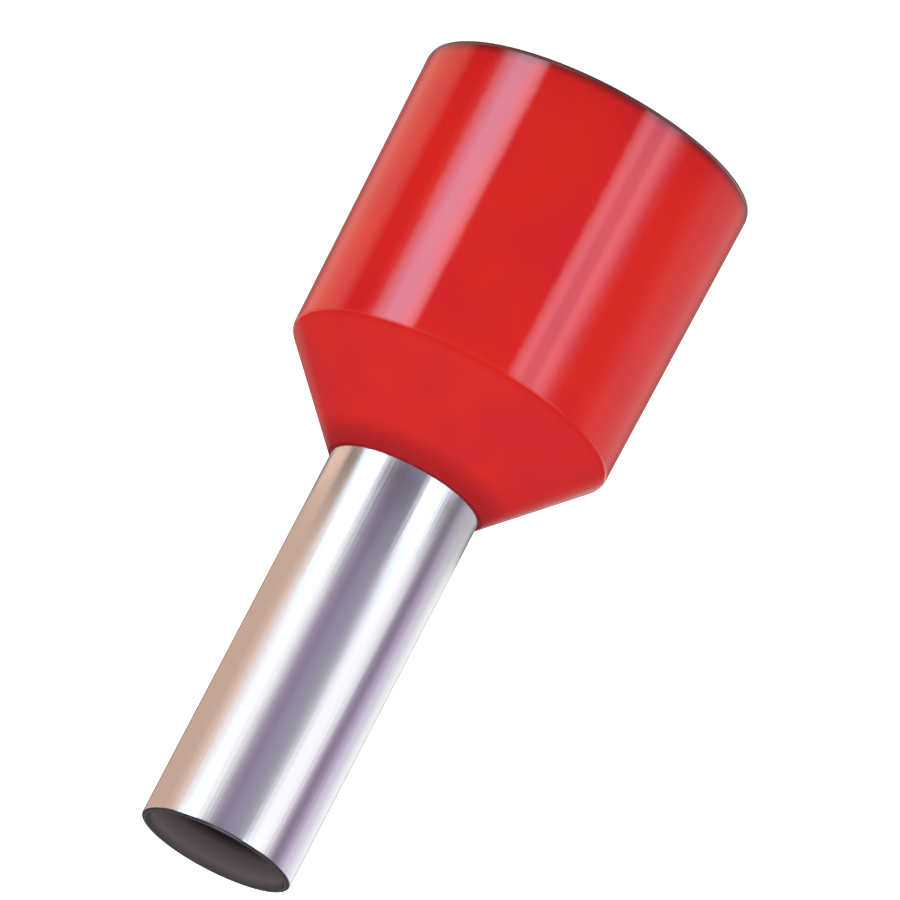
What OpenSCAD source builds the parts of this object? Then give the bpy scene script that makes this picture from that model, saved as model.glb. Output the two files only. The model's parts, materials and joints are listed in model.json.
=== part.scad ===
// Insulated wire ferrule for a stripped stranded conductor.
// A thin metal crimp sleeve, flared at its entry, seats in the funnel of a moulded plastic collar.
// Both pieces are turned about Z. The ferrule stands on the collar's open rim, which lies at
// z = 0 with its centre on the origin, and the sleeve's crimp end points up.

/* [Crimp sleeve] */
// Inside diameter of the tube, where the bare strands go
conductor_bore_d = 3.9; // [3.4:0.1:4.6]
// Thickness of the metal wall
sleeve_wall = 0.2; // [0.16:0.02:0.3]
// Length of tube that stands out of the collar
crimp_len = 11.1; // [8:0.1:18]
// How far the flared entry spreads past the tube, on each side
flare_spread = 1.05; // [0.7:0.05:1.3]
// Radius of the bend between tube and flare, on its outer face
flare_bend_r = 0.5; // [0.3:0.1:0.8]
// Rounding of the cut edges, at the crimp end and at the flare's lip
cut_edge_r = 0.06; // [0.02:0.01:0.07]

/* [Insulating collar] */
// Inside diameter of the barrel, where the wire's insulation goes
insulation_bore_d = 8.3; // [7.6:0.1:9.5]
// Wall of the barrel at the shoulder, where it is thinnest
barrel_wall = 0.45; // [0.35:0.05:0.8]
// Height of the barrel, from the rim to the shoulder
barrel_len = 8.3; // [7:0.1:12]
// Mould draft of the barrel's outer face, in degrees off the axis
barrel_draft = 1; // [0:0.25:2]
// Height of the outer cone, from the shoulder to the neck
cone_len = 2.6; // [1.8:0.1:4]
// Wall of the lip where the cone ends on the sleeve
neck_wall = 0.1; // [0.06:0.02:0.4]
// Length of neck that grips the tube
grip_len = 1; // [0.6:0.1:1.6]
// Mould draft of the neck's bore, which the tube is flared out against
neck_draft = 2; // [0.5:0.5:4]
// Rounding of the outer shoulder
shoulder_edge_r = 0.22; // [0.1:0.02:0.6]
// Rounding of the rim's outer edge
rim_edge_r = 0.12; // [0.05:0.01:0.2]
// Rounding where the funnel runs into the barrel's bore
funnel_edge_r = 0.6; // [0.2:0.1:1]
// Lead-in chamfer inside the rim
entry_chamfer = 0.2; // [0.1:0.05:0.25]

/* [Fit] */
// Clearance between the flare's lip and the end of its recess
lip_gap = 0.05; // [0.02:0.01:0.1]

/* [Hidden] */

// Facets of a full turn: round the axis, and round a profile's corner
turn_fn = 128;
corner_fn = 64;

// Radii from the axis
conductor_r = conductor_bore_d / 2;
sleeve_r = conductor_r + sleeve_wall;
bore_r = insulation_bore_d / 2;
shoulder_r = bore_r + barrel_wall;
rim_r = shoulder_r + barrel_len * tan(barrel_draft);
neck_r = sleeve_r + neck_wall;

// Heights above the rim
collar_len = barrel_len + cone_len;
tip_z = collar_len + crimp_len;

// The funnel and the flare run parallel with the outer cone, so the wall between them is even
cone_angle = atan((shoulder_r - neck_r) / cone_len);

// Unit steps along a wall that leans out by an angle, downwards and square through it inwards
function down(lean) = [sin(lean), -cos(lean)];
function inward(lean) = [-cos(lean), -sin(lean)];

// Corner of the sleeve's inner face behind an outer corner, where the lean turns from a to b
function behind(outer, a, b) =
    outer + sleeve_wall * (inward(a) + inward(b)) / (1 + inward(a) * inward(b));

// The tube is straight as far as the collar, and leans out with the neck's draft inside it
neck_outer = [sleeve_r, collar_len];
neck_inner = behind(neck_outer, 0, neck_draft);

// Corner where the neck's stretch and the flare would meet if the bend were sharp
bend_tangent = flare_bend_r * tan((cone_angle - neck_draft) / 2);
bend_outer = neck_outer + (grip_len + bend_tangent) * down(neck_draft);
bend_inner = behind(bend_outer, neck_draft, cone_angle);

// The flare's lip, and the end of the recess that takes it
slope_len = (sleeve_r + flare_spread - bend_outer.x) / sin(cone_angle);
lip_outer = bend_outer + slope_len * down(cone_angle);
lip_inner = lip_outer + sleeve_wall * inward(cone_angle);
recess_end = lip_outer + lip_gap * down(cone_angle);
recess_step = recess_end + sleeve_wall * inward(cone_angle);

// The funnel below the recess is flush with the flare's inner face, so strands meet no step
funnel_end = [bore_r, bend_inner.y - (bore_r - bend_inner.x) / tan(cone_angle)];

function unit(v) = v / norm(v);

// The corner at b, between a and c, as an arc of radius r, or as a plain point where r is 0
function corner(a, b, c, r) =
    r == 0 ? [b] :
    let (
        to_a = unit(a - b),
        to_c = unit(c - b),
        half = acos(to_a * to_c) / 2,
        centre = b + unit(to_a + to_c) * r / sin(half),
        start = b + to_a * r / tan(half) - centre,
        from = atan2(start.y, start.x),
        sweep = (180 - 2 * half) * sign(cross(to_c, to_a)),
        steps = ceil(abs(sweep) * corner_fn / 360)
    )
    [for (i = [0:steps]) centre + r * [cos(from + sweep * i / steps), sin(from + sweep * i / steps)]];

// Outline through a list of [point, corner radius]
function rounded(outline) =
    let (n = len(outline))
    [for (i = [0:n - 1])
        each corner(outline[(i + n - 1) % n][0], outline[i][0], outline[(i + 1) % n][0], outline[i][1])];

// A closed [radius, height] outline turned about Z
module turned(outline) {
    rotate_extrude($fn = turn_fn) polygon(rounded(outline));
}

// Drawn tube with a flared entry. Its two bends share one centre, so the wall stays even.
module crimp_sleeve() {
    color([0.80, 0.79, 0.82])
    turned([
        [[sleeve_r, tip_z], cut_edge_r],
        [[conductor_r, tip_z], cut_edge_r],
        [neck_inner, 0],
        [bend_inner, flare_bend_r + sleeve_wall],
        [lip_inner, cut_edge_r],
        [lip_outer, cut_edge_r],
        [bend_outer, flare_bend_r],
        [neck_outer, 0],
    ]);
}

// Moulded collar: drafted barrel and cone outside, plain bore, funnel, recess and grip inside
module insulating_collar() {
    color([0.84, 0.13, 0.13])
    turned([
        [[rim_r, 0], rim_edge_r],
        [[shoulder_r, barrel_len], shoulder_edge_r],
        [[neck_r, collar_len], neck_wall / 2],
        [neck_outer, 0],
        [bend_outer, flare_bend_r],
        [recess_end, 0],
        [recess_step, 0],
        [funnel_end, funnel_edge_r],
        [[bore_r, entry_chamfer], 0],
        [[bore_r + entry_chamfer, 0], 0],
    ]);
}

crimp_sleeve();
insulating_collar();
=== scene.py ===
# %% [markdown]
# # An insulated wire ferrule
#
# A ferrule keeps the strands of a stripped wire together. It has two pieces: a thin tube of
# tin-plated copper, which a crimping tool squeezes onto the bare strands, and a red collar of
# moulded polypropylene, which takes the wire's insulation.
#
# This lesson dresses both pieces for a close-up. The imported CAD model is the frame: it says where
# everything is and how large. Here we turn the same two forms far more finely, give each a
# material that starts from what the real one is, and build the small studio that lights them.
# The frame's numbers are in metres, with +Z up along the ferrule's axis.

# %% Load the frame
import json
import math

import bpy
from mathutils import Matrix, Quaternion, Vector


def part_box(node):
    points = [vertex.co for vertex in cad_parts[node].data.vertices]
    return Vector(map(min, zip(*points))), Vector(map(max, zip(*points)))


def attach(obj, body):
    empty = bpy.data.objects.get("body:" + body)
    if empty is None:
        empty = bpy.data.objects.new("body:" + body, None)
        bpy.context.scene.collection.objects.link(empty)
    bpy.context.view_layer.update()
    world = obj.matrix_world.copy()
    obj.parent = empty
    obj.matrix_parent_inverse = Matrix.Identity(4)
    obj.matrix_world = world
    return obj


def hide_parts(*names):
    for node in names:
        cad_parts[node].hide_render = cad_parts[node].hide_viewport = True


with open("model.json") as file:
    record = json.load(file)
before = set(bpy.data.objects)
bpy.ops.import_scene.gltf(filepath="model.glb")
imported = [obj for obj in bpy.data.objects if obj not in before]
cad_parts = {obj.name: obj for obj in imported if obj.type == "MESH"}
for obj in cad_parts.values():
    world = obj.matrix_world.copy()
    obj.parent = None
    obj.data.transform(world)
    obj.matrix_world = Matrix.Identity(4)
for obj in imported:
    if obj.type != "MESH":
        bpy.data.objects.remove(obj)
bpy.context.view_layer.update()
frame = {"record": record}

MM = 0.001

# %% [markdown]
# ## The camera
#
# The ferrule is small, so a short lens close to it would swell its near end. A long lens from
# 30 cm away leaves only a little perspective: the tube's mouth is nearer than the rim, so
# it is seen at a slightly flatter angle, and its ellipse is the slimmer of the two.
#
# The camera looks down by about 17 degrees, which opens the tube's mouth to view, and it is
# rolled about its own axis, so that the standing ferrule lies slantwise across the frame with its
# tube pointing down and to the left.

# %% Set up the camera
LENS = 457 * MM
SENSOR = 36 * MM
FRAME_WIDTH = 23.634 * MM
ELEVATION = math.radians(16.82)
ROLL = math.radians(-152.45)
AIM = Vector((-0.59, 0, 9.418)) * MM
# The nearest and farthest depth that the camera sees, as shares of its distance
CLIP_SHARES = (0.01, 10)

distance = FRAME_WIDTH * LENS / SENSOR
back = Vector((0, -math.cos(ELEVATION), math.sin(ELEVATION)))

lens_data = bpy.data.cameras.new("camera")
lens_data.lens = LENS / MM
lens_data.sensor_width = SENSOR / MM
lens_data.clip_start = distance * CLIP_SHARES[0]
lens_data.clip_end = distance * CLIP_SHARES[1]
camera = bpy.data.objects.new("camera", lens_data)
camera.location = AIM + back * distance
camera.rotation_mode = "QUATERNION"
camera.rotation_quaternion = (-back).to_track_quat("-Z", "Y") @ Quaternion((0, 0, 1), ROLL)
bpy.context.scene.collection.objects.link(camera)
bpy.context.scene.camera = camera
print(f"camera {distance:.3f} m away, {math.degrees(ELEVATION):.1f} degrees up")

# %% [markdown]
# ## Sizes
#
# Everything that the frame can tell is read from it: the mounts of the record give the two bores
# and the tube's outside, and the boxes of the two nodes give the heights.
# What is left are the small forms between them, such as walls, bends and edges.

# %% Read the sizes from the frame
mounts = {m["name"]: m["dims"] for m in frame["record"]["mounts"]}
conductor_r = mounts["conductor_bore"]["r_mm"] * MM
sleeve_r = mounts["crimp_barrel"]["r_mm"] * MM
bore_r = mounts["insulation_bore"]["r_mm"] * MM
tip_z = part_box("crimp_sleeve")[1].z
collar_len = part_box("insulating_collar")[1].z
sleeve_wall = sleeve_r - conductor_r

# Forms that the frame doesn't state
BARREL_WALL = 0.45 * MM
BARREL_LEN = 8.3 * MM
BARREL_DRAFT = math.radians(1)
NECK_WALL = 0.1 * MM
NECK_DRAFT = math.radians(2)
GRIP_LEN = 1 * MM
FLARE_SPREAD = 1.05 * MM
FLARE_BEND_R = 0.5 * MM
LIP_GAP = 0.05 * MM

shoulder_r = bore_r + BARREL_WALL
rim_r = shoulder_r + BARREL_LEN * math.tan(BARREL_DRAFT)
neck_r = sleeve_r + NECK_WALL
cone_angle = math.atan2(shoulder_r - neck_r, collar_len - BARREL_LEN)
print(f"tube {2 * sleeve_r / MM:.2f} mm, rim {2 * rim_r / MM:.2f} mm,",
      f"cone {math.degrees(cone_angle):.1f} degrees, {tip_z / MM:.1f} mm over all")

# %% [markdown]
# ## Where the tube is flared
#
# The tube's entry is flared, so that it can't pull out of the collar. None of that can be seen, so
# the form here is the CAD model's: inside the neck the tube leans out with the neck's mould draft,
# and below that it bends to the slope of the funnel. The wall is equally thick all the way, so each
# corner of the tube's inner face lies straight behind a corner of its outer face.

# %% Work out the flare
def down(lean):
    """The unit step down a wall that leans out from the axis, as (radius, height)."""
    return Vector((math.sin(lean), -math.cos(lean)))


def inward(lean):
    """The unit step square through that wall, towards the axis."""
    return Vector((-math.cos(lean), -math.sin(lean)))


def behind(outer, lean_above, lean_below):
    """The corner of the tube's inner face that lies behind a corner of its outer face."""
    both = inward(lean_above) + inward(lean_below)
    return outer + both * sleeve_wall / (1 + inward(lean_above).dot(inward(lean_below)))


neck_outer = Vector((sleeve_r, collar_len))
neck_inner = behind(neck_outer, 0, NECK_DRAFT)
bend_tangent = FLARE_BEND_R * math.tan((cone_angle - NECK_DRAFT) / 2)
bend_outer = neck_outer + down(NECK_DRAFT) * (GRIP_LEN + bend_tangent)
bend_inner = behind(bend_outer, NECK_DRAFT, cone_angle)

slope_len = (sleeve_r + FLARE_SPREAD - bend_outer.x) / math.sin(cone_angle)
lip_outer = bend_outer + down(cone_angle) * slope_len
lip_inner = lip_outer + inward(cone_angle) * sleeve_wall
recess_end = lip_outer + down(cone_angle) * LIP_GAP
recess_step = recess_end + inward(cone_angle) * sleeve_wall
funnel_end = Vector((bore_r, bend_inner.y - (bore_r - bend_inner.x) / math.tan(cone_angle)))
print(f"the flare's lip is at radius {lip_outer.x / MM:.2f} mm, height {lip_outer.y / MM:.2f} mm")

# %% [markdown]
# ## A lathe for both pieces
#
# Drawn tube and round mouldings are bodies of revolution, so a lathe makes them best: an outline of
# half the section is spun round the axis. Blender's Screw modifier does this, and so does bmesh's
# spin, but spin may list the faces in another order at every run. Here the code sets each section
# itself instead, one after another, so the mesh comes out the same every time.
#
# A polished surface shows every flaw in its normals, so the outline is prepared with care. Its
# corners become true arcs, and its long straight stretches are cut into short ones. Without those
# cuts, the last face of an arc would pull the normals of a whole side off true, and a reflection
# that should run straight would fan out.

# %% Round an outline's corners and cut its straights
ARC_STEP = math.radians(6)
STRAIGHT_STEP = 0.4 * MM


def arc(before, point, after, radius):
    """The points of an arc that rounds the corner at point."""
    to_last = (before - point).normalized()
    to_next = (after - point).normalized()
    half = to_last.angle(to_next) / 2
    centre = point + (to_last + to_next).normalized() * radius / math.sin(half)
    start = point + to_last * radius / math.tan(half) - centre
    turn = math.pi - 2 * half
    if to_last.cross(to_next) > 0:
        turn = -turn
    steps = max(2, math.ceil(abs(turn) / ARC_STEP))
    angles = [turn * i / steps for i in range(steps + 1)]
    return [centre + Vector((start.x * math.cos(a) - start.y * math.sin(a),
                             start.x * math.sin(a) + start.y * math.cos(a))) for a in angles]


def prepared(outline):
    """A closed outline of (point, corner radius) as many points, with arcs and short straights."""
    corners = []
    for i, (point, radius) in enumerate(outline):
        before = outline[i - 1][0]
        after = outline[(i + 1) % len(outline)][0]
        corners += arc(before, point, after, radius) if radius else [point]
    points = []
    for i, point in enumerate(corners):
        step = corners[(i + 1) % len(corners)] - point
        cuts = max(1, math.ceil(step.length / STRAIGHT_STEP))
        points += [point + step * k / cuts for k in range(cuts)]
    return points


print(f"arcs are cut every {math.degrees(ARC_STEP):.0f} degrees,",
      f"straights every {STRAIGHT_STEP / MM:.1f} mm")

# %% [markdown]
# ## Spinning it
#
# The outline goes round the Z axis in 256 steps, so even the rim's facets are only a tenth of a
# millimetre wide. All faces are smooth, and only the few corners that are truly sharp, such as the
# edges of the entry's chamfer, are marked as sharp. A smooth face across such an edge would look
# like a smudge.

# %% Spin the outline
import bmesh

TURN_STEPS = 256
SHARP = math.radians(30)


def turned(name, outline):
    """A new mesh object: the outline spun round the Z axis, smooth except at sharp corners."""
    points = prepared(outline)
    shape = bmesh.new()
    sections = []
    for i in range(TURN_STEPS):
        angle = math.tau * i / TURN_STEPS
        sections.append([shape.verts.new((p.x * math.cos(angle), p.x * math.sin(angle), p.y))
                         for p in points])
    for i, section in enumerate(sections):
        last = sections[i - 1]
        for k in range(len(points)):
            shape.faces.new((last[k - 1], section[k - 1], section[k], last[k]))
    bmesh.ops.recalc_face_normals(shape, faces=shape.faces)
    for face in shape.faces:
        face.smooth = True
    for edge in shape.edges:
        edge.smooth = edge.calc_face_angle(0) < SHARP
    mesh = bpy.data.meshes.new(name)
    shape.to_mesh(mesh)
    shape.free()
    piece = bpy.data.objects.new(name, mesh)
    bpy.context.scene.collection.objects.link(piece)
    print(f"{name}: {len(mesh.polygons)} faces, {len(points)} round the section")
    return piece


print(f"at the rim, a facet is {math.tau * rim_r / TURN_STEPS / MM:.2f} mm wide")

# %% [markdown]
# ## The crimp tube
#
# Such a tube is usually drawn from copper, cut to length, flared, and plated with tin, cut edges
# and all. Cutting and plating leave each edge very slightly round. Those edges are small, but they
# catch the light as a thin line round the tube's mouth.

# %% Turn the crimp tube
CUT_EDGE_R = 0.06 * MM

crimp_tube = turned("crimp_tube", [
    (Vector((sleeve_r, tip_z)), CUT_EDGE_R),
    (Vector((conductor_r, tip_z)), CUT_EDGE_R),
    (neck_inner, 0),
    (bend_inner, FLARE_BEND_R + sleeve_wall),
    (lip_inner, CUT_EDGE_R),
    (lip_outer, CUT_EDGE_R),
    (bend_outer, FLARE_BEND_R),
    (neck_outer, 0),
])
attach(crimp_tube, "root")
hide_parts("crimp_sleeve")

# %% [markdown]
# ## The collar
#
# The collar is one injection moulding. The barrel leans out by one degree towards its rim, because
# a moulding with truly parallel sides would stick in its mould. Above the shoulder a short cone
# runs up to a lip on the tube that is only a tenth of a millimetre thick. Mould steel is never
# perfectly sharp, so the shoulder and the rim have small round edges, and the highlights on the
# barrel end there.

# %% Turn the collar
RIM_EDGE_R = 0.12 * MM
SHOULDER_EDGE_R = 0.22 * MM
FUNNEL_EDGE_R = 0.6 * MM
ENTRY_CHAMFER = 0.2 * MM

collar = turned("collar", [
    (Vector((rim_r, 0)), RIM_EDGE_R),
    (Vector((shoulder_r, BARREL_LEN)), SHOULDER_EDGE_R),
    (Vector((neck_r, collar_len)), NECK_WALL / 2),
    (neck_outer, 0),
    (bend_outer, FLARE_BEND_R),
    (recess_end, 0),
    (recess_step, 0),
    (funnel_end, FUNNEL_EDGE_R),
    (Vector((bore_r, ENTRY_CHAMFER)), 0),
    (Vector((bore_r + ENTRY_CHAMFER, 0)), 0),
])
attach(collar, "root")
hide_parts("insulating_collar")

# %% [markdown]
# ## Two helpers for materials
#
# A colour is easiest to note down as the hex code of a colour picker, which is sRGB. Shaders work
# with linear light, so each code is turned to linear once, by one function.
#
# The second helper adds a node. Its settings are the node's own properties, and its inputs are
# either plain values or the output of another node, which is then linked.

# %% Define the helpers
def linear(code):
    """An sRGB colour such as "#C81E1E" as linear red, green, blue and alpha."""
    shares = [int(code[i:i + 2], 16) / 255 for i in (1, 3, 5)]
    # The curve's numbers are those of the sRGB standard
    return [s / 12.92 if s <= 0.04045 else ((s + 0.055) / 1.055) ** 2.4 for s in shares] + [1]


def add(tree, kind, inputs=None, **settings):
    """Adds a node of that kind, with its settings, and sets or links its inputs."""
    node = tree.nodes.new(kind)
    for name, value in settings.items():
        setattr(node, name, value)
    for name, value in (inputs or {}).items():
        if isinstance(value, bpy.types.NodeSocket):
            tree.links.new(value, node.inputs[name])
        else:
            node.inputs[name].default_value = value
    return node


print("mid grey #808080 is", round(linear("#808080")[0], 3), "in linear light")

# %% [markdown]
# ## Red polypropylene, injection moulded
#
# Polypropylene is coloured right through by its pigment, and the pigment is never mixed quite
# evenly. So two close reds drift into each other here, over about two millimetres.
#
# The cone gets a slightly brighter pair of the same reds. The tube in front of it keeps some of
# the studio's light away, and the brighter pair makes up for that, because on the real thing the
# cone and the barrel look like one red.

# %% Start the collar's material with its reds
PIGMENT_DRIFT = 2.0 * MM
PIGMENT_DETAIL = 2
REDS = ("#CD1F24", "#D3231C")
CONE_REDS = ("#CF2024", "#D9231E")
DRIFT_ENDS = (0.35, 0.65)
CONE_START = BARREL_LEN + 0.02 * MM
CONE_BLEND = 0.1 * MM

red_plastic = bpy.data.materials.new("polypropylene_injection_moulded")
red_plastic.use_nodes = True
tree = red_plastic.node_tree
tree.nodes.clear()

place = add(tree, "ShaderNodeTexCoord")
spot = add(tree, "ShaderNodeSeparateXYZ", {"Vector": place.outputs["Object"]})
drift = add(tree, "ShaderNodeTexNoise",
            {"Vector": place.outputs["Object"], "Scale": 1 / PIGMENT_DRIFT,
             "Detail": PIGMENT_DETAIL})
cone = add(tree, "ShaderNodeMapRange",
           {"Value": spot.outputs["Z"], "From Min": CONE_START,
            "From Max": CONE_START + CONE_BLEND})

barrel_red = add(tree, "ShaderNodeValToRGB", {"Fac": drift.outputs["Fac"]})
cone_red = add(tree, "ShaderNodeValToRGB", {"Fac": drift.outputs["Fac"]})
for ramp, codes in ((barrel_red, REDS), (cone_red, CONE_REDS)):
    for stop, code, position in zip(ramp.color_ramp.elements, codes, DRIFT_ENDS):
        stop.color = linear(code)
        stop.position = position
red = add(tree, "ShaderNodeMix",
          {"Factor": cone.outputs["Result"], "A": barrel_red.outputs["Color"],
           "B": cone_red.outputs["Color"]}, data_type="RGBA")
print("the reds drift over", round(PIGMENT_DRIFT / MM, 1), "mm")

# %% [markdown]
# ## Where the plastic ends
#
# At both of its ends the plastic looks darker. At the neck it thins out to a lip, close against the
# metal, and the corner between the two is in shade. At the rim, little light gets in between the
# plastic and the table. Our studio is too bright for either shade, so both are painted here. They
# follow the height, and each is a colour of its own.

# %% Darken the collar's two ends
LIP_SHADE = "#AE171D"
LIP_DEEP = 0.15 * MM
LIP_FADE = 0.45 * MM
RIM_SHADE = "#861E22"
RIM_DEEP = 0.08 * MM
RIM_FADE = 0.25 * MM

at_lip = add(tree, "ShaderNodeMapRange",
             {"Value": spot.outputs["Z"], "From Min": collar_len - LIP_DEEP - LIP_FADE,
              "From Max": collar_len - LIP_DEEP})
lip_red = add(tree, "ShaderNodeMix",
              {"Factor": at_lip.outputs["Result"], "A": red.outputs["Result"],
               "B": linear(LIP_SHADE)}, data_type="RGBA")
at_rim = add(tree, "ShaderNodeMapRange",
             {"Value": spot.outputs["Z"], "From Min": RIM_DEEP + RIM_FADE,
              "From Max": RIM_DEEP})
shaded_red = add(tree, "ShaderNodeMix",
                 {"Factor": at_rim.outputs["Result"], "A": lip_red.outputs["Result"],
                  "B": linear(RIM_SHADE)}, data_type="RGBA")
print(f"the lip is dark for {LIP_DEEP / MM:.2f} mm, the rim for {RIM_DEEP / MM:.2f} mm")

# %% [markdown]
# ## The moulding's skin
#
# Polypropylene has an index of refraction of 1.49, so it mirrors about 4 percent of the light that
# meets it head on, and far more at a glancing angle. The mould's barrel is polished, but the
# plastic shrinks a little as it sets, which leaves a faint orange peel: soft bumps about 0.4 mm
# wide and two micrometres high. That is what keeps a highlight's edge from being a ruled line. The
# cone is drawn a touch more satin than the barrel, as a less polished part of a mould would leave
# it, so no sharp highlight stands on it.

# %% Give the collar its skin
PEEL_WIDTH = 0.4 * MM
PEEL_HEIGHT = 0.002 * MM
PEEL_DETAIL = 1
PLASTIC_IOR = 1.49
BARREL_ROUGHNESS = (0.06, 0.11)
CONE_ROUGHNESS = 0.2

peel = add(tree, "ShaderNodeTexNoise",
           {"Vector": place.outputs["Object"], "Scale": 1 / PEEL_WIDTH,
            "Detail": PEEL_DETAIL})
gloss = add(tree, "ShaderNodeMapRange",
            {"Value": peel.outputs["Fac"], "To Min": BARREL_ROUGHNESS[0],
             "To Max": BARREL_ROUGHNESS[1]})
polish = add(tree, "ShaderNodeMix",
             {"Factor": cone.outputs["Result"], "A": gloss.outputs["Result"],
              "B": CONE_ROUGHNESS})
bumps = add(tree, "ShaderNodeBump", {"Height": peel.outputs["Fac"], "Distance": PEEL_HEIGHT})
skin = add(tree, "ShaderNodeBsdfPrincipled",
           {"Base Color": shaded_red.outputs["Result"], "Roughness": polish.outputs["Result"],
            "Normal": bumps.outputs["Normal"], "IOR": PLASTIC_IOR})
add(tree, "ShaderNodeOutputMaterial", {"Surface": skin.outputs["BSDF"]})
collar.data.materials.append(red_plastic)
print("collar material:", len(tree.nodes), "nodes")

# %% [markdown]
# ## Tin-plated copper, drawn
#
# Drawing the tube through its die leaves fine lines along it, about 0.1 mm apart. They smear each
# reflection sideways round the tube, and give its edges a streak here and there. Real ones are a
# fraction of a micrometre deep, which is too fine to show from here, so these are drawn 3
# micrometres deep. They come from a noise that is stretched a hundred times along the axis.
#
# A tube as thin as this is seldom perfectly round either. Waves about a millimetre wide make the
# edges of the bands wander a little.

# %% Draw the lines and waves of the tube
LINE_SPACING = 0.1 * MM
LINE_STRETCH = 100
LINE_DEPTH = 0.003 * MM
LINE_DETAIL = 3
WAVE_WIDTH = 0.9 * MM
WAVE_STRETCH = 2
WAVE_HEIGHT = 0.008 * MM
WAVE_DETAIL = 1

tinned = bpy.data.materials.new("copper_tin_plated_drawn")
tinned.use_nodes = True
tree = tinned.node_tree
tree.nodes.clear()

place = add(tree, "ShaderNodeTexCoord")
line_place = add(tree, "ShaderNodeMapping",
                 {"Vector": place.outputs["Object"], "Scale": (1, 1, 1 / LINE_STRETCH)})
lines = add(tree, "ShaderNodeTexNoise",
            {"Vector": line_place.outputs["Vector"], "Scale": 1 / LINE_SPACING,
             "Detail": LINE_DETAIL})
wave_place = add(tree, "ShaderNodeMapping",
                 {"Vector": place.outputs["Object"], "Scale": (1, 1, 1 / WAVE_STRETCH)})
waves = add(tree, "ShaderNodeTexNoise",
            {"Vector": wave_place.outputs["Vector"], "Scale": 1 / WAVE_WIDTH,
             "Detail": WAVE_DETAIL})
wavy = add(tree, "ShaderNodeBump", {"Height": waves.outputs["Fac"], "Distance": WAVE_HEIGHT})
scored = add(tree, "ShaderNodeBump",
             {"Height": lines.outputs["Fac"], "Distance": LINE_DEPTH,
              "Normal": wavy.outputs["Normal"]})
print(f"{math.tau * sleeve_r / LINE_SPACING:.0f} lines round the tube")

# %% [markdown]
# ## Bright outside, dull inside
#
# Bright tin is a soft, slightly cool white metal. Inside the bore it is another matter: it is rough
# and dull there, and darkened with painted shade. A point's distance from the axis tells the
# outside from the inside.
#
# The painted shade is dark down the bore and paler in the last millimetre before the mouth, a
# painted light where light gets in. On the cut edge of the mouth itself it is darker again.

# %% Colour the tin outside and inside
OUTSIDE_START = conductor_r + 0.3 * sleeve_wall
OUTSIDE_END = conductor_r + 0.6 * sleeve_wall
TIN = "#E8E6E9"
BORE_FADE = 1.2 * MM
# The bore's painted shade and light, each colour at its share of the way up through the fade to the
# mouth
PAINTED_BORE_SHADE = [
    (0, "#52454A"), (0.2, "#5E5056"), (0.42, "#B3A1A7"), (0.8, "#C8B6BC"), (0.93, "#A09298"),
    (1, "#6A6266"),
]

flat = add(tree, "ShaderNodeVectorMath", {0: place.outputs["Object"], 1: (1, 1, 0)},
           operation="MULTIPLY")
radius = add(tree, "ShaderNodeVectorMath", {0: flat.outputs["Vector"]}, operation="LENGTH")
outside = add(tree, "ShaderNodeMapRange",
              {"Value": radius.outputs["Value"], "From Min": OUTSIDE_START,
               "From Max": OUTSIDE_END})

spot = add(tree, "ShaderNodeSeparateXYZ", {"Vector": place.outputs["Object"]})
depth = add(tree, "ShaderNodeMapRange",
            {"Value": spot.outputs["Z"], "From Min": tip_z - BORE_FADE, "From Max": tip_z})
# Painted shade down the bore, and painted light near the mouth
bore = add(tree, "ShaderNodeValToRGB", {"Fac": depth.outputs["Result"]})
# A ramp starts with two stops, at 0 and 1, so only those between are added
for share, code in PAINTED_BORE_SHADE[1:-1]:
    bore.color_ramp.elements.new(share)
for stop, (share, code) in zip(bore.color_ramp.elements, PAINTED_BORE_SHADE):
    stop.color = linear(code)
tin = add(tree, "ShaderNodeMix",
          {"Factor": outside.outputs["Result"], "A": bore.outputs["Color"], "B": linear(TIN)},
          data_type="RGBA")
print(f"the tin turns bright at radius {OUTSIDE_END / MM:.2f} mm")

# %% [markdown]
# ## The tube's finish
#
# The bright outside is all metal and fairly smooth, a little rougher where the lines are. The
# inside of the bore is rough, and only partly metal.

# %% Give the tube its finish
BRIGHT_ROUGHNESS = (0.14, 0.24)
BORE_ROUGHNESS = 0.55
BORE_METAL = 0.7

satin = add(tree, "ShaderNodeMapRange",
            {"Value": lines.outputs["Fac"], "To Min": BRIGHT_ROUGHNESS[0],
             "To Max": BRIGHT_ROUGHNESS[1]})
rough = add(tree, "ShaderNodeMix",
            {"Factor": outside.outputs["Result"], "A": BORE_ROUGHNESS,
             "B": satin.outputs["Result"]})
metallic = add(tree, "ShaderNodeMapRange",
               {"Value": outside.outputs["Result"], "To Min": BORE_METAL, "To Max": 1})
metal = add(tree, "ShaderNodeBsdfPrincipled",
            {"Base Color": tin.outputs["Result"], "Metallic": metallic.outputs["Result"],
             "Roughness": rough.outputs["Result"], "Normal": scored.outputs["Normal"]})
add(tree, "ShaderNodeOutputMaterial", {"Surface": metal.outputs["BSDF"]})
crimp_tube.data.materials.append(tinned)
print("tube material:", len(tree.nodes), "nodes")

# %% [markdown]
# ## The studio
#
# A shiny tube shows its surroundings more than itself, so the surroundings are built first. Here
# there are two. A tent hangs round everything, with two bright strips in it that draw the
# highlights on the barrel. And a ring of tinted paper lies on the table, which the tube mirrors as
# its white, grey and sand-coloured bands.
#
# Both are cloths of many colours that go once round the ferrule, so one function makes either. A
# radial gradient measures how far round from the camera a direction lies, and a colour ramp gives
# the cloth's colour there.

# %% Define a banded cloth
PEARL = "#FFFFFF"
SKY = "#9CDEFF"
ROSE = "#F4EEFF"
LILAC = "#E0D6FF"
DUSK = "#F0D8FF"
SAND = "#FFD9C2"
BRIGHTEST = 8


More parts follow.
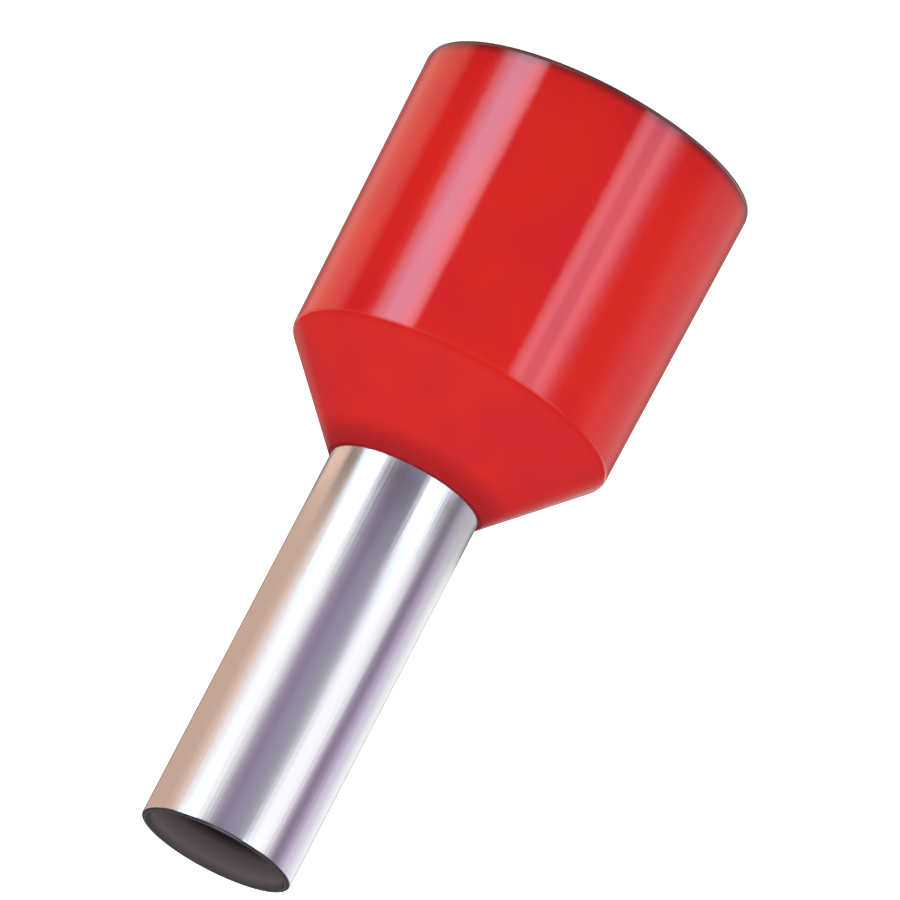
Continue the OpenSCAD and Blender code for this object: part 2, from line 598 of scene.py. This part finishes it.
def banded(tree, direction, cloth):
    """Adds a light whose colour goes round the Z axis through the cloth's stops."""
    # A quarter turn puts the gradient's middle at the camera, and its start behind the ferrule
    facing = add(tree, "ShaderNodeMapping",
                 {"Vector": direction, "Rotation": (0, 0, math.radians(90))})
    turn = add(tree, "ShaderNodeTexGradient", {"Vector": facing.outputs["Vector"]},
               gradient_type="RADIAL")
    ramp = add(tree, "ShaderNodeValToRGB", {"Fac": turn.outputs["Fac"]})
    for degrees, code, bright in cloth[1:-1]:
        ramp.color_ramp.elements.new((degrees + 180) / 360)
    for stop, (degrees, code, bright) in zip(ramp.color_ramp.elements, cloth):
        # The ramp's alpha carries the brightness, as a share of the brightest
        stop.color = linear(code)[:3] + [bright / BRIGHTEST]
    strength = add(tree, "ShaderNodeMath", {0: ramp.outputs["Alpha"], 1: BRIGHTEST},
                   operation="MULTIPLY")
    return add(tree, "ShaderNodeEmission",
               {"Color": ramp.outputs["Color"], "Strength": strength.outputs["Value"]})


print("a cloth may be up to", BRIGHTEST, "times as bright as white paper")

# %% [markdown]
# ## The tent's wall
#
# Each stop of the cloth is an angle, a colour and a brightness. The angle is in degrees round from
# the camera, towards +X. The two strips lie at about 60 and at about -40 degrees. Each has a blue
# core and paler edges, which turn violet and pink over the red of the plastic. The dim cloth
# between them lets the plastic's own red show.

# %% Cut the tent's wall
TENT = [
    (-180, PEARL, 0.2), (-160, PEARL, 0.2), (-144, PEARL, 0.5), (-100, PEARL, 0.5),
    (-86, PEARL, 0.2), (-76, PEARL, 0.1), (-64, PEARL, 0.15), (-58, SKY, 0.9),
    (-52, ROSE, 2.6), (-46, ROSE, 4.0), (-42, SKY, 3.0), (-36, SKY, 3.0), (-32, ROSE, 4.0),
    (-27, ROSE, 2.6), (-24, PEARL, 0.1), (43, PEARL, 0.1), (46, ROSE, 4.0), (51, ROSE, 5.8),
    (55, SKY, 7.4), (64, SKY, 7.4), (70, SKY, 4.8), (79, PEARL, 0.4), (86, PEARL, 0.03),
    (100, PEARL, 0.03), (112, SAND, 1.0), (142, SAND, 1.0), (158, PEARL, 0.2),
    (180, PEARL, 0.2),
]
print(len(TENT), "stops round the tent")

# %% [markdown]
# ## The table's paper
#
# A tinned tube isn't coloured, so each tint in its bands is one of the paper's. White paper lies
# to both sides of the camera, and lilac and dusk-coloured paper between the two. Farther round,
# the paper is sand-coloured on the right, and dusk-coloured and then white again on the left. What
# lies behind the ferrule shows at the tube's edges.

# %% Cut the table's paper
PAPER = [
    (-180, PEARL, 0.05), (-168, PEARL, 0.4), (-155, PEARL, 1.1), (-133, PEARL, 0.98),
    (-120, ROSE, 0.87), (-110, ROSE, 0.8), (-101, DUSK, 0.64), (-92, DUSK, 0.42),
    (-84, DUSK, 0.27), (-75, DUSK, 0.52), (-67, PEARL, 1.0), (-61, PEARL, 1.22),
    (-38, PEARL, 1.14), (-33, PEARL, 0.8), (-28, ROSE, 0.55), (-22, ROSE, 0.45),
    (0, LILAC, 0.48), (8, DUSK, 0.35), (20, DUSK, 0.44), (28, ROSE, 0.68), (34, PEARL, 0.96),
    (39, PEARL, 1.1), (43, PEARL, 1.17), (62, PEARL, 1.13), (90, SAND, 0.84), (104, SAND, 0.69),
    (122, SAND, 0.68), (155, SAND, 0.66), (165, SAND, 0.3), (180, PEARL, 0.2),
]
print(len(PAPER), "stops round the table")

# %% [markdown]
# ## Hanging the tent
#
# The tent is painted on the world, and only mirrored rays see it. The camera and the soft light on
# matt surfaces see plain white instead, so the background is white and the shading is even.
#
# The wall reaches from below the table to just above eye level. Over it there is a dim ceiling
# with a brighter top. Under it hangs a skirt of the table's paper, so the strips don't also show
# on the rim's rounded edge, as bright curls. Seen from high up, the tube mirrors that skirt, and
# keeps its bands.

# %% Hang the tent on the world
WHITE_LIGHT = 1.09
CEILING_LIGHT = (0.06, 0.6)
SKIRT_HEIGHTS = (-0.5, -0.4)
WALL_TOP_HEIGHTS = (0.02, 0.1)
CEILING_TOP_HEIGHTS = (math.sin(math.radians(75)), math.sin(math.radians(82)))

world = bpy.data.worlds.new("tent")
world.use_nodes = True
tree = world.node_tree
tree.nodes.clear()
bpy.context.scene.world = world

look = add(tree, "ShaderNodeTexCoord")
height = add(tree, "ShaderNodeSeparateXYZ", {"Vector": look.outputs["Generated"]})
wall = banded(tree, look.outputs["Generated"], TENT)
skirt = banded(tree, look.outputs["Generated"], PAPER)
top_light = add(tree, "ShaderNodeMapRange",
                {"Value": height.outputs["Z"], "From Min": CEILING_TOP_HEIGHTS[0],
                 "From Max": CEILING_TOP_HEIGHTS[1], "To Min": CEILING_LIGHT[0],
                 "To Max": CEILING_LIGHT[1]})
ceiling = add(tree, "ShaderNodeBackground",
              {"Color": linear(PEARL), "Strength": top_light.outputs["Result"]})

over_skirt = add(tree, "ShaderNodeMapRange",
                 {"Value": height.outputs["Z"], "From Min": SKIRT_HEIGHTS[0],
                  "From Max": SKIRT_HEIGHTS[1]})
over_wall = add(tree, "ShaderNodeMapRange",
                {"Value": height.outputs["Z"], "From Min": WALL_TOP_HEIGHTS[0],
                 "From Max": WALL_TOP_HEIGHTS[1]})
low_tent = add(tree, "ShaderNodeMixShader",
               {0: over_skirt.outputs["Result"], 1: skirt.outputs["Emission"],
                2: wall.outputs["Emission"]})
tent = add(tree, "ShaderNodeMixShader",
           {0: over_wall.outputs["Result"], 1: low_tent.outputs["Shader"],
            2: ceiling.outputs["Background"]})

rays = add(tree, "ShaderNodeLightPath")
white = add(tree, "ShaderNodeBackground", {"Color": linear(PEARL), "Strength": WHITE_LIGHT})
seen = add(tree, "ShaderNodeMixShader",
           {0: rays.outputs["Is Glossy Ray"], 1: white.outputs["Background"],
            2: tent.outputs["Shader"]})
add(tree, "ShaderNodeOutputWorld", {"Surface": seen.outputs["Shader"]})
# Even white light from all round needs no rays aimed at it
world.cycles.sampling_method = "NONE"
print("world:", len(tree.nodes), "nodes")

# %% [markdown]
# ## Laying the ring
#
# The tube stands high above the table and mirrors what lies about four to seven centimetres off.
# The barrel is lower, so what it mirrors lies closer in, inside the ring. That is how the same
# studio gives the plastic one set of lights and the metal another.
#
# The ring is a single flat band of faces. Only mirrored rays see it, because to the eye the table
# is plain.

# %% Lay the ring of paper
RING_INNER = 42 * MM
RING_OUTER = 140 * MM
RING_STEPS = 64
PAPER_HEIGHT = 0.1 * MM


def circle(shape, radius):
    """Adds the points of a level circle round the Z axis, at the paper's height."""
    angles = [math.tau * i / RING_STEPS for i in range(RING_STEPS)]
    return [shape.verts.new((radius * math.cos(a), radius * math.sin(a), PAPER_HEIGHT))
            for a in angles]


shape = bmesh.new()
inner = circle(shape, RING_INNER)
outer = circle(shape, RING_OUTER)
for i in range(RING_STEPS):
    shape.faces.new((inner[i - 1], outer[i - 1], outer[i], inner[i]))
ring_mesh = bpy.data.meshes.new("paper_ring")
shape.to_mesh(ring_mesh)
shape.free()
paper_ring = bpy.data.objects.new("paper_ring", ring_mesh)
bpy.context.scene.collection.objects.link(paper_ring)
paper_ring.visible_camera = False
paper_ring.visible_diffuse = False
paper_ring.visible_shadow = False

paper = bpy.data.materials.new("tinted_paper")
paper.use_nodes = True
tree = paper.node_tree
tree.nodes.clear()
place = add(tree, "ShaderNodeTexCoord")
tint = banded(tree, place.outputs["Object"], PAPER)
add(tree, "ShaderNodeOutputMaterial", {"Surface": tint.outputs["Emission"]})
# The paper is only there to be mirrored, so it isn't sampled as a lamp
paper.cycles.emission_sampling = "NONE"
ring_mesh.materials.append(paper)
print(f"paper from {RING_INNER / MM:.0f} to {RING_OUTER / MM:.0f} mm off the axis")

# %% [markdown]
# ## The floor
#
# The ferrule stands on its rim on a plain white light table. Mirrored rays pass through the floor,
# because the tent's wall hangs lower than the table on every side. The floor casts no shadow
# either.

# %% Lay the floor
FLOOR_SIZE = 2.0

half = FLOOR_SIZE / 2
floor_mesh = bpy.data.meshes.new("floor")
floor_mesh.from_pydata([(-half, -half, 0), (half, -half, 0), (half, half, 0), (-half, half, 0)],
                       [], [(0, 1, 2, 3)])
floor = bpy.data.objects.new("floor", floor_mesh)
bpy.context.scene.collection.objects.link(floor)
floor.visible_glossy = False
floor.visible_shadow = False
print("floor:", FLOOR_SIZE, "m square")

# %% [markdown]
# ## A light table's white
#
# A light table is frosted acrylic that glows, so the floor stays white right up to the rim, and
# only the contact itself is dark, as a painted contact shadow. The ambient occlusion node finds
# that contact: it says how open the floor is within a millimetre or so. Where it is closed, the
# paint turns to the painted shadow's dark red and the glow goes out.
#
# The painted contact shadow is drawn wider for the light that the plastic gets from the floor than
# for the eye. So the rim darkens a little towards the table, and yet no grey halo surrounds it.

# %% Paint the floor
CONTACT = 1.2 * MM
CLOSED_TO_PLASTIC = (0.4, 0.9)
CLOSED_TO_EYE = (0.25, 0.45)
# The painted contact shadow's colour, tinted red like light thrown from the plastic
CONTACT_SHADOW_COLOUR = "#5A2020"
ACRYLIC = "#EEEEEE"
ACRYLIC_ROUGHNESS = 0.9
GLOW_TO_PLASTIC = 0.22
GLOW_TO_EYE = 0.7

table = bpy.data.materials.new("acrylic_light_table")
table.use_nodes = True
tree = table.node_tree
tree.nodes.clear()
openness = add(tree, "ShaderNodeAmbientOcclusion", {"Distance": CONTACT})
rays = add(tree, "ShaderNodeLightPath")
to_plastic = add(tree, "ShaderNodeMapRange",
                 {"Value": openness.outputs["AO"], "From Min": CLOSED_TO_PLASTIC[0],
                  "From Max": CLOSED_TO_PLASTIC[1]})
to_eye = add(tree, "ShaderNodeMapRange",
             {"Value": openness.outputs["AO"], "From Min": CLOSED_TO_EYE[0],
              "From Max": CLOSED_TO_EYE[1]})
clear = add(tree, "ShaderNodeMix",
            {"Factor": rays.outputs["Is Camera Ray"], "A": to_plastic.outputs["Result"],
             "B": to_eye.outputs["Result"]})
# The painted contact shadow: dark paint and a dimmed glow where the floor is closed in
paint = add(tree, "ShaderNodeMix",
            {"Factor": clear.outputs["Result"], "A": linear(CONTACT_SHADOW_COLOUR),
             "B": linear(ACRYLIC)}, data_type="RGBA")
glow = add(tree, "ShaderNodeMapRange",
           {"Value": rays.outputs["Is Camera Ray"], "To Min": GLOW_TO_PLASTIC,
            "To Max": GLOW_TO_EYE})
lamp = add(tree, "ShaderNodeMath", {0: clear.outputs["Result"], 1: glow.outputs["Result"]},
           operation="MULTIPLY")
sheet = add(tree, "ShaderNodeBsdfPrincipled",
            {"Base Color": paint.outputs["Result"], "Roughness": ACRYLIC_ROUGHNESS,
             "Emission Color": linear(PEARL), "Emission Strength": lamp.outputs["Value"],
             "Specular IOR Level": 0})
add(tree, "ShaderNodeOutputMaterial", {"Surface": sheet.outputs["BSDF"]})
# So large and soft a light needs no rays aimed at it either
table.cycles.emission_sampling = "NONE"
floor_mesh.materials.append(table)

# Plain display of light, with no film-like curve over it, keeps the plastic's red as mixed
bpy.context.scene.view_settings.view_transform = "Standard"
print("floor material:", len(tree.nodes), "nodes")
